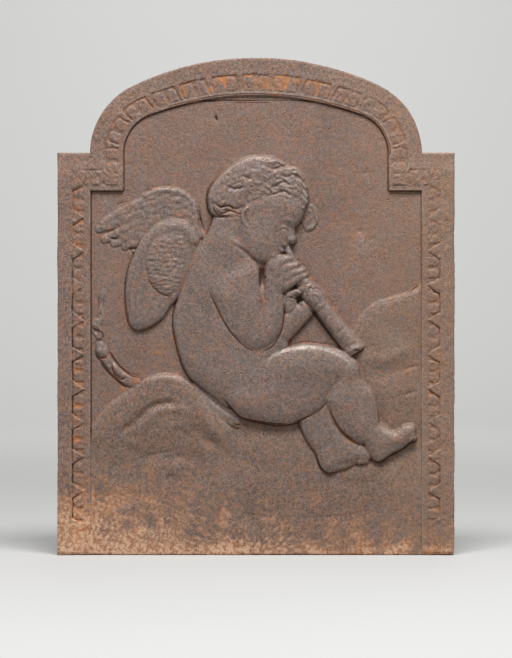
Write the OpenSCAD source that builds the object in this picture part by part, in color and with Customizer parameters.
// Cast-iron fireback: an arched plate with a leaf border and, in low relief,
// a winged child who sits on clouds and plays a pipe.
// The plate stands on its bottom edge with its flat back at y = 0 and its
// front towards -y. Relief is drawn on the front: x to the right, y up, and
// heights standing out of the sunk field towards the viewer.

/* [Plate] */
// Width across the two sides
plate_w = 400; // [390:1:410]
// Height of the two shoulders above the bottom edge
shoulder_h = 405; // [400:1:412]
// Rise of the arched head above the shoulders
arch_rise = 96; // [92:1:100]
// Width of each flat shoulder
shoulder_w = 33; // [30:1:36]
// Radius of the tight curve where the head springs from a shoulder
haunch_r = 75; // [70:1:80]
// Radius in the corner between a shoulder and the head
shoulder_fillet = 4; // [2:0.5:6]
// Thickness of the plate behind the sunk field
plate_t = 10; // [8:0.5:14]

/* [Border] */
// Width of the border up the sides
border_side_w = 33.5; // [32:0.5:35]
// Width of the border over the head
border_top_w = 38; // [36:0.5:40]
// Width of the flat outer band
band_w = 14.5; // [13:0.5:16]
// Width of the channel that holds the leaves
channel_w = 13.5; // [12.5:0.5:14.5]
// Height of the outer band above the sunk field
band_h = 4.6; // [4:0.1:5.5]
// Height of the inner band above the sunk field
inner_band_h = 4; // [3.4:0.1:4.6]
// Height of the channel floor above the sunk field
channel_h = 1.8; // [1.4:0.1:2.2]
// Height above the bottom edge at which the channel stops
channel_foot = 34; // [28:1:40]

/* [Leaves] */
// Spacing of the leaves up the sides
side_pitch = 34.5; // [32:0.5:36]
// Spacing of the leaves over the head
arch_pitch = 30; // [28:1:32]
// Room that a dart has between two leaves up the sides
side_room = 13; // [12:0.5:14]
// Room that a dart has between two leaves over the head
arch_room = 6.5; // [6:0.5:7.5]
// Gap between the two lobes of a leaf
lobe_gap = 2.5; // [2:0.5:3]
// Height of a lobe above the channel floor
lobe_h = 2.2; // [1.4:0.1:2.4]
// Height of a dart above the channel floor
dart_h = 2.5; // [2:0.1:2.8]
// Gap between the leaves and the walls of the channel
leaf_gap = 0.3; // [0.2:0.1:0.5]

/* [Relief] */
// Height of the child from the hair to the lower foot
figure_h = 318; // [314:1:322]
// Relief of the fullest form, the near arm, above the sunk field
relief_h = 14; // [11:0.5:16]

/* [Hidden] */

iron = "#5d5450";
iron_pale = "#6b625c";
iron_blue = "#5f6062";
rust = "#7a5238";

half_w = plate_w / 2;
head_half_w = half_w - shoulder_w;
crown_h = shoulder_h + arch_rise;
// Insets of the lines between the bands, measured across a side
channel_outer = band_w;
channel_inner = band_w + channel_w;
channel_mid = (channel_outer + channel_inner) / 2;
// An inset over the head for each millimetre of inset across a side
top_share = border_top_w / border_side_w;
field_half_w = half_w - border_side_w;
field_top = shoulder_h - border_top_w;
// How far a cutting shape runs past what it cuts
over = 2;

// The picture is drawn for a field 333 wide whose sides end at a level of
// 367, with the child 318 high and 14 deep, and clouds down to 95. It takes
// its width from the field, its height from the child's, and hangs from the
// level at which the sides of the field end.
wide = 2 * field_half_w / 333;
tall = figure_h / 318;
rel = relief_h / 14;
function hung(y) = field_top + (y - 367) * tall;
// The low billows fill the height that the clouds above leave to the foot
low = hung(95) / 95;
// Rounded forms get more sides the broader they are
function form_sides(r) = r < 7 ? 8 : r < 16 ? 10 : 14;
// Angles on a dome at which its section turns: fewer where it is small
function dome_turns(r) = r < 16 ? [52] : [38, 68];

// ---- lines of the plate ------------------------------------------------

// Radius of the broad crown curve that joins two haunch curves
function crown_r(a, rise, r) =
    (pow(a - r, 2) + rise * rise - r * r) / (2 * (rise - r));

// Points of a three-centred arch from its right foot to its left foot
function arch(a, foot, crown, r) =
    let (
        big = crown_r(a, crown - foot, r),
        turn = atan2(big - (crown - foot), a - r),
        right = [for (i = [0:6])
            [a - r + r * cos(turn * i / 6), foot + r * sin(turn * i / 6)]],
        top = [for (i = [1:23])
            let (t = turn + (180 - 2 * turn) * i / 24)
            [big * cos(t), crown - big + big * sin(t)]]
    )
    concat(right, top, [for (i = [6:-1:0]) [-right[i][0], right[i][1]]]);

// Outline at an inset s from the edge of the plate, down to the level low
function line(s, low) =
    let (u = s * top_share, a = head_half_w - s, step = s > 0)
    concat(
        [[half_w - s, low], [half_w - s, shoulder_h - u]],
        step ? [[a, shoulder_h - u]] : [],
        arch(a, shoulder_h, crown_h - u, haunch_r - s),
        step ? [[-a, shoulder_h - u]] : [],
        [[s - half_w, shoulder_h - u], [s - half_w, low]]
    );

// Point and outward angle at a length q along the right half of an arch from
// its foot, or straight below the foot where q is less than 0
function on_arch(a, foot, crown, r, q) =
    let (
        big = crown_r(a, crown - foot, r),
        turn = atan2(big - (crown - foot), a - r),
        haunch = r * turn * PI / 180
    )
    q < 0
        ? [a, foot + q, 0]
        : q < haunch
            ? let (t = turn * q / haunch)
                [a - r + r * cos(t), foot + r * sin(t), t]
            : let (t = turn + (q - haunch) / big * 180 / PI)
                [big * cos(t), crown - big + big * sin(t), t];

// Length of an arch from foot to foot
function arch_length(a, foot, crown, r) =
    let (
        big = crown_r(a, crown - foot, r),
        turn = atan2(big - (crown - foot), a - r)
    )
    (2 * r * turn + big * (180 - 2 * turn)) * PI / 180;

module plate_outline() {
    offset(r = -shoulder_fillet) offset(delta = shoulder_fillet)
        polygon(line(0, 0));
}

// Puts what is drawn in x and y on the front face of the ground plate
module on_field() {
    translate([0, -plate_t, 0]) rotate([90, 0, 0]) children();
}

// ---- plate and border --------------------------------------------------

module ground_plate() {
    color(iron)
        rotate([90, 0, 0]) linear_extrude(plate_t) plate_outline();
}

// The border's section, from the edge to the field, inside a region
module moulding() {
    linear_extrude(band_h) intersection() {
        difference() {
            plate_outline();
            polygon(line(channel_outer, -over));
        }
        children();
    }
    linear_extrude(channel_h) intersection() {
        difference() {
            polygon(line(channel_outer, 0));
            polygon(line(channel_inner, -over));
        }
        children();
    }
    linear_extrude(inner_band_h) intersection() {
        difference() {
            polygon(line(channel_inner, 0));
            polygon(line(border_side_w, -over));
        }
        children();
    }
}

// One side, with the channel filled level below its foot
module side_moulding() {
    color(iron) on_field() {
        moulding() translate([field_half_w, 0])
            square([border_side_w, field_top]);
        translate([half_w - channel_inner, 0])
            cube([channel_w, channel_foot, inner_band_h]);
    }
}

module side_moulding_right() { side_moulding(); }

module side_moulding_left() { mirror([1, 0, 0]) side_moulding(); }

module shoulder_moulding() {
    color(iron) on_field()
        moulding() translate([head_half_w - border_side_w, field_top])
            square([half_w, shoulder_h - field_top]);
}

module shoulder_moulding_right() { shoulder_moulding(); }

module shoulder_moulding_left() { mirror([1, 0, 0]) shoulder_moulding(); }

module arch_moulding() {
    color(iron) on_field()
        moulding() translate([-half_w, shoulder_h])
            square([plate_w, arch_rise + over]);
}

// ---- leaf and dart -----------------------------------------------------

leaf_depth = channel_w - 2 * leaf_gap;
// Gap between the round end of a lobe and the outer band
lobe_top = 1.2;
// Width of a dart at its narrow end
dart_tip = 1.6;
// How much wider a dart is at the outer band, over the round ends of the
// leaves, than the room between their straight sides
dart_flare = 1.25;

// Dart between two leaves with a room between them: broad at the outer band,
// on +y, and narrow within
module dart(room) {
    base = room * dart_flare;
    linear_extrude(dart_h) polygon([
        [-base / 2, leaf_depth / 2], [base / 2, leaf_depth / 2],
        [dart_tip / 2, -leaf_depth / 2], [-dart_tip / 2, -leaf_depth / 2]]);
}

// Leaf of a width w, of two lobes that are round at the outer band
module leaf(w) {
    lobe = (w - lobe_gap) / 2;
    straight = leaf_depth - lobe / 2 - lobe_top;
    for (side = [-1, 1])
        translate([side * (lobe + lobe_gap) / 2, -leaf_depth / 2]) {
            translate([0, straight]) cylinder(h = lobe_h, d = lobe, $fn = 16);
            translate([-lobe / 2, 0]) cube([lobe, straight, lobe_h]);
        }
}

// Gap between the foot of the channel and the lowest leaf
end_gap = 1.5;
// Level at which the axis of a dart would lie below the lowest leaf
side_start = channel_foot + end_gap - side_room / 2;
// Level of the top dart, whose tip clears the leaf over the shoulder
side_end = shoulder_h - channel_mid * top_share - leaf_depth / 2 - dart_tip;
side_run = side_end - side_start;
side_count = round(side_run / side_pitch);
side_step = side_run / side_count;
side_leaf_w = side_step - side_room;

// Leaves up one side with a dart above each
module side_leaves() {
    color(rust) on_field()
        translate([half_w - channel_mid, side_start, channel_h])
            rotate([0, 0, 90]) mirror([0, 1, 0])
                for (i = [1:side_count]) {
                    translate([(i - 0.5) * side_step, 0]) leaf(side_leaf_w);
                    translate([i * side_step, 0]) dart(side_room);
                }
}

module side_leaves_right() { side_leaves(); }

module side_leaves_left() { mirror([1, 0, 0]) side_leaves(); }

// One leaf over each shoulder, where the channel runs level
module shoulder_leaves() {
    color(rust) on_field()
        for (side = [-1, 1])
            translate([
                side * (half_w - shoulder_w / 2 - channel_mid),
                shoulder_h - channel_mid * top_share,
                channel_h
            ]) leaf(side_leaf_w);
}

arch_a = head_half_w - channel_mid;
arch_top = crown_h - channel_mid * top_share;
arch_r = haunch_r - channel_mid;
arch_half = arch_length(arch_a, shoulder_h, arch_top, arch_r) / 2;
// How far below the foot of the arch the middle of the last leaf lies
last_below = 7;
arch_run = arch_half + last_below;
arch_count = round(arch_run / arch_pitch);
arch_step = arch_run / arch_count;

// One leaf or dart, i half pitches from the crown down the right half
module arch_leaf(i) {
    p = on_arch(arch_a, shoulder_h, arch_top, arch_r,
        arch_half - arch_step * i / 2);
    translate([p[0], p[1], channel_h]) rotate([0, 0, p[2] - 90])
        if (i % 2 == 0) leaf(arch_step - arch_room); else dart(arch_room);
}

module arch_leaves() {
    color(rust) on_field() {
        arch_leaf(0);
        for (i = [1:2 * arch_count]) {
            arch_leaf(i);
            mirror([1, 0, 0]) arch_leaf(i);
        }
    }
}

// ---- rounded forms of the relief ---------------------------------------

// A station is [x, y, half width, height of its edge, height of its crown].
// Point on a smooth curve through four stations, a share t from b to c
function between(a, b, c, d, t) =
    b + 0.5 * t * (c - a + t * (2 * a - 5 * b + 4 * c - d
        + t * (3 * (b - c) + d - a)));

// Stations of a form with n steps from each one drawn to the next
function smooth(st, n) =
    let (last = len(st) - 1)
    concat([for (i = [0:last - 1], k = [0:n - 1])
        between(st[max(i - 1, 0)], st[i], st[i + 1], st[min(i + 2, last)], k / n)],
        [st[last]]);

// A low dome on a straight foot
module bead(p, hangs) {
    r = p[2];
    foot = p[3] * rel;
    rise = (p[4] - p[3]) * rel;
    sides = form_sides(r);
    translate([p[0] * wide, hangs ? hung(p[1]) : p[1] * low, 0])
        scale([wide, hangs ? tall : low, 1]) {
            cylinder(h = foot, r = r, $fn = sides);
            for (t = dome_turns(r))
                cylinder(h = foot + rise * sin(t), r = r * cos(t), $fn = sides);
            cylinder(h = foot + rise, r1 = r / 2, r2 = 0, $fn = sides);
        }
}

// A limb, billow or feather: domes joined one after another
module form(st, n = 2, hangs = true) {
    run = smooth(st, n);
    for (i = [0:len(run) - 2])
        hull() {
            bead(run[i], hangs);
            bead(run[i + 1], hangs);
        }
}

// Keeps a form to the sunk field
module in_field() {
    intersection() {
        children();
        linear_extrude(relief_h + over) polygon(line(border_side_w, 0));
    }
}

// ---- the child ---------------------------------------------------------

module pipe_form() {
    form([[32, 309, 2.8, 8, 10], [37, 294, 4, 9, 11.5], [47, 277, 5.4, 9, 12.5],
        [57, 262, 7.4, 8, 12.5], [70, 244, 7.8, 7, 12], [84, 226, 8.5, 6, 12],
        [98, 209, 10.5, 6, 12]], 1);
}

// A turned bulb below the hand
module pipe_collar_form() {
    form([[49, 270, 6, 9, 13], [53, 265, 8.6, 9, 13.8], [58, 259, 9.2, 9, 14],
        [63, 252.5, 8, 9, 13.4]], 1);
}

module near_hand_form() {
    form([[20, 275, 12, 9.5, 13], [25, 283, 13, 9.5, 13.6], [29, 289, 11, 9.5, 13.6]], 2);
    for (i = [0:3])
        form([[29 - 3 * i, 272 + 6 * i, 4.8, 10, 13], [40 - 4 * i, 278.5 + 5.8 * i, 4.6, 10.5, 14],
            [48.5 - 5 * i, 281.6 + 5.2 * i, 3.4, 10, 13.4]], 1);
}

module near_forearm_form() {
    form([[3, 222, 16.5, 8.5, 13], [12, 233, 15, 9, 13], [16, 250, 13, 9.5, 13],
        [20, 270, 11, 9.5, 13]], 3);
}

module near_upper_arm_form() {
    form([[-30, 292, 25, 8, 12], [-22, 268, 25, 9, 13.4], [-15, 246, 23.5, 9, 14],
        [-3, 223, 17, 8.5, 13.4]], 3);
}

module near_foot_form() {
    form([[108, 121, 13, 8, 12], [119, 110, 13.5, 7, 11.6], [130, 112, 11.5, 6, 10.5],
        [141, 115, 9, 5, 9], [151, 121, 8.5, 4.5, 8]], 2);
}

module near_shin_form() {
    form([[84, 171, 22, 7, 12], [94, 153, 23, 7.5, 12], [99, 138, 20, 7.5, 11.5],
        [106, 123, 15, 7.5, 11.5]], 3);
}

module near_thigh_form() {
    form([[0, 174, 37, 6, 12.5], [24, 171, 38, 6.5, 13], [46, 171, 36, 7, 13.4],
        [64, 176, 30, 7, 13], [77, 178, 26, 7, 12.6]], 2);
}

module hair_form() {
    form([[-32, 356, 15, 7, 11], [-26, 368, 20, 7, 12], [-10, 374, 27, 7, 13],
        [12, 375, 28, 7, 13], [30, 370, 20, 7, 12], [40, 361, 12, 7, 11]], 1);
    form([[-34, 354, 10, 8, 11], [-22, 354, 8, 8, 11], [-10, 353, 8, 8, 11],
        [4, 358, 8, 8, 11.4], [18, 357, 8, 8, 11.4], [32, 355, 8, 8, 11], [42, 356, 7, 8, 10.4]], 1);
    for (i = [0:2])
        form([[-14 + 4 * i, 392 - 12 * i, 4, 9, 13.6], [4, 396 - 13 * i, 4.6, 9, 14],
            [24 + 4 * i, 388 - 11 * i, 4.2, 9, 13.8], [40 + 2 * i, 379 - 11 * i, 4, 8, 12.4]], 1);
}

// The curl that hangs before the brow
module brow_curl_form() {
    form([[50, 349, 5, 1, 2.6], [54, 340, 7.4, 1, 3.4], [51, 331, 5, 1, 2.6]], 1);
}

// Bowed over the pipe: skull, nose, and the lips and chin
module head_form() {
    form([[0, 350, 36, 6, 12], [8, 342, 36, 6, 12.6], [11, 330, 32, 6, 12.6],
        [8, 317, 25, 6, 12], [7, 306, 13.5, 6, 10.5]], 2);
    form([[38, 340, 9, 6, 10], [41, 328, 5.4, 6, 10.5], [42, 319, 4.4, 6, 11]], 1);
    form([[28, 309, 5.4, 6, 10], [22, 300, 6.4, 6, 9.6]], 1);
}

module neck_form() {
    form([[-12, 340, 25, 5, 9], [-22, 324, 23, 5, 9.4], [-28, 308, 26, 5, 9.4]], 4);
}

module trunk_form() {
    form([[-32, 300, 30, 4, 9], [-28, 282, 43, 4, 9.6], [-28, 260, 51, 4, 10],
        [-28, 234, 54, 4.5, 10.5], [-27, 208, 51, 5, 11], [-20, 186, 46, 5.5, 12],
        [-6, 174, 38, 6, 12.5]], 2);
}

module drapery_form() {
    form([[-42, 158, 6, 3, 5.5], [-30, 148, 8, 3, 6], [-18, 139, 8, 3, 6],
        [0, 133, 8, 3, 6], [20, 130, 6, 3, 5.5], [40, 131, 5, 3, 5]], 2);
}

module far_hand_form() {
    form([[32, 262, 8, 4, 8.5], [40, 256, 9, 4, 9], [50, 250, 9, 4, 8.5]], 4);
}

module far_forearm_form() {
    form([[22, 226, 14, 3.5, 8], [36, 240, 13, 3.5, 8], [47, 250, 10, 3.5, 7.5]], 4);
}

module far_leg_form() {
    form([[60, 146, 19, 4, 8], [65, 124, 17, 4, 8], [72, 107, 15, 4, 8],
        [79, 99, 13.5, 4, 7.6], [94, 98, 10, 3.5, 6.5], [109, 99, 7, 3, 5.5]], 2);
}

// ---- wings and torch ---------------------------------------------------

module coverts_form() {
    form([[-68, 318, 12, 5.5, 8], [-78, 308, 22, 5.5, 8.5], [-84, 292, 25, 5.5, 8.5],
        [-85, 278, 19, 5, 8], [-84, 268, 11, 5, 7.5]], 2);
}

module near_wing_form() {
    form([[-66, 318, 12, 3.5, 7], [-80, 308, 26, 3.5, 7], [-94, 290, 33, 3, 6.6],
        [-104, 266, 25, 3, 6], [-110, 248, 18, 3, 5.5], [-113, 241, 13, 3, 5]], 2);
}

module far_wing_form() {
    form([[-62, 330, 9, 2.4, 5], [-72, 344, 20, 2.4, 6], [-88, 346, 22, 2.4, 6],
        [-104, 345, 20, 2.2, 5]], 2);
    for (i = [0:4])
        form([[-96 + i * 3, 354 - i * 6, 9, 2.2, 5], [-128 + i * 7, 342 - i * 7.6, 6.5, 2.2, 5],
            [-157 + i * 8, 329 - i * 5.4, 4, 2.2, 4]], 1);
}

module torch_form() {
    form([[-154, 207, 6, 2, 5], [-149, 194, 6.5, 2, 5.4], [-139, 182, 7.5, 2, 5.6],
        [-124, 174, 9, 2, 5.6]], 3);
}

module flame_form() {
    form([[-155, 214, 5, 2, 5], [-156, 232, 6.5, 2, 5], [-154, 250, 5.5, 2, 4.6],
        [-152, 266, 3, 1.6, 3.6]], 3);
}

// ---- clouds ------------------------------------------------------------

// Billow behind the others on the left, under the torch and the trunk
module cloud_left_form() {
    form([[-132, 122, 33, 1.4, 4], [-108, 128, 46, 1.8, 5.4], [-86, 132, 50, 1.8, 6],
        [-62, 126, 47, 1.8, 5.6], [-40, 112, 38, 1.6, 5]], 2);
}

// Billow in front of it, lower down
module cloud_fold_form() {
    form([[-128, 84, 26, 3, 5], [-108, 94, 34, 3.6, 6], [-84, 96, 40, 4, 6.6],
        [-58, 88, 36, 3.6, 6], [-40, 78, 28, 3, 5.2]], 2);
}

module cloud_right_form() {
    form([[160, 232, 40, 1.2, 3.4], [146, 222, 42, 1.4, 4.2], [128, 212, 42, 1.6, 4.8],
        [122, 196, 38, 1.6, 4.8], [136, 174, 34, 1.6, 4.4]], 2);
}

// The cloud under the child
module cloud_seat_form() {
    form([[-28, 118, 34, 2.4, 6], [0, 108, 36, 2.6, 6], [30, 102, 34, 2.6, 5.6],
        [60, 92, 30, 2.4, 5], [92, 82, 28, 2, 4.4]], 2);
}

// Low billows across the foot, in front of the others
foot_billows = 8;
foot_step = 2 * field_half_w / wide / foot_billows;

module cloud_foot_form() {
    form([for (i = [0:foot_billows])
        let (high = i % 2)
        [(i - foot_billows / 2) * foot_step, 40 + 10 * high, 38 + 8 * high, 2.4,
            4 + high]],
        1, false);
}

// ---- pieces, each cut clear of what lies in front of it ----------------

module pipe() {
    color(iron_pale) on_field() difference() {
        pipe_form();
        pipe_collar_form();
        near_hand_form();
    }
}

module pipe_collar() {
    color(iron_pale) on_field() difference() {
        pipe_collar_form();
        near_hand_form();
    }
}

module near_hand() {
    color(iron_blue) on_field() near_hand_form();
}

module near_forearm() {
    color(iron_blue) on_field() difference() {
        near_forearm_form();
        near_hand_form();
    }
}

module near_upper_arm() {
    color(iron_blue) on_field() difference() {
        near_upper_arm_form();
        near_forearm_form();
        near_hand_form();
    }
}

module near_foot() {
    color(iron_blue) on_field() in_field() near_foot_form();
}

module near_shin() {
    color(iron_blue) on_field() difference() {
        near_shin_form();
        near_foot_form();
    }
}

module near_thigh() {
    color(iron_blue) on_field() difference() {
        near_thigh_form();
        near_shin_form();
        near_foot_form();
        near_upper_arm_form();
        near_forearm_form();
    }
}

module hair() {
    color(iron_blue) on_field() hair_form();
}

module head() {
    color(iron_blue) on_field() difference() {
        head_form();
        hair_form();
        pipe_form();
        near_hand_form();
        near_upper_arm_form();
    }
}

module brow_curl() {
    color(iron_blue) on_field() difference() {
        brow_curl_form();
        head_form();
        hair_form();
    }
}

module neck() {
    color(iron_blue) on_field() difference() {
        neck_form();
        head_form();
        hair_form();
        near_upper_arm_form();
    }
}

// Everything that lies in front of the trunk
module before_trunk() {
    near_upper_arm_form();
    near_forearm_form();
    near_hand_form();
    near_thigh_form();
    coverts_form();
    near_wing_form();
}

module trunk() {
    color(iron_blue) on_field() difference() {
        trunk_form();
        before_trunk();
        neck_form();
        head_form();
        hair_form();
    }
}

module far_hand() {
    color(iron_blue) on_field() difference() {
        far_hand_form();
        pipe_form();
        pipe_collar_form();
        near_hand_form();
        near_forearm_form();
    }
}

module far_forearm() {
    color(iron_blue) on_field() difference() {
        far_forearm_form();
        far_hand_form();
        pipe_form();
        pipe_collar_form();
        near_hand_form();
        near_forearm_form();
        near_upper_arm_form();
        trunk_form();
    }
}

module far_leg() {
    color(iron_blue) on_field() difference() {
        far_leg_form();
        near_thigh_form();
        near_shin_form();
        near_foot_form();
    }
}

// The limbs and trunk together, which everything behind them is cut clear of
module body_forms() {
    before_trunk();
    trunk_form();
    neck_form();
    head_form();
    hair_form();
    near_shin_form();
    near_foot_form();
    far_leg_form();
}

module drapery() {
    color(iron_blue) on_field() difference() {
        drapery_form();
        trunk_form();
        near_thigh_form();
        far_leg_form();
    }
}

module wing_coverts() {
    color(iron_pale) on_field() coverts_form();
}

module near_wing() {
    color(iron_pale) on_field() difference() {
        near_wing_form();
        coverts_form();
    }
}

module far_wing() {
    color(iron_pale) on_field() difference() {
        in_field() far_wing_form();
        near_wing_form();
        coverts_form();
        trunk_form();
        neck_form();
    }
}

module torch() {
    color(iron_pale) on_field() in_field() torch_form();
}

module torch_flame() {
    color(iron_pale) on_field() difference() {
        in_field() flame_form();
        torch_form();
    }
}

module cloud_left() {
    color(iron) on_field() difference() {
        in_field() cloud_left_form();
        cloud_fold_form();
        cloud_seat_form();
        cloud_foot_form();
        torch_form();
        body_forms();
        drapery_form();
    }
}

module cloud_fold() {
    color(iron) on_field() difference() {
        in_field() cloud_fold_form();
        cloud_seat_form();
        cloud_foot_form();
        body_forms();
        drapery_form();
    }
}

module cloud_right() {
    color(iron) on_field() difference() {
        in_field() cloud_right_form();
        pipe_form();
        body_forms();
    }
}

module cloud_seat() {
    color(iron) on_field() difference() {
        in_field() cloud_seat_form();
        cloud_foot_form();
        body_forms();
        drapery_form();
    }
}

module cloud_foot() {
    color(iron) on_field() difference() {
        in_field() cloud_foot_form();
        cloud_right_form();
        body_forms();
    }
}

ground_plate();
side_moulding_left();
side_moulding_right();
shoulder_moulding_left();
shoulder_moulding_right();
arch_moulding();
side_leaves_left();
side_leaves_right();
shoulder_leaves();
arch_leaves();
cloud_left();
cloud_fold();
cloud_right();
cloud_seat();
cloud_foot();
torch();
torch_flame();
far_wing();
near_wing();
wing_coverts();
far_leg();
far_forearm();
far_hand();
drapery();
trunk();
neck();
head();
hair();
brow_curl();
near_thigh();
near_shin();
near_foot();
near_upper_arm();
near_forearm();
near_hand();
pipe();
pipe_collar();
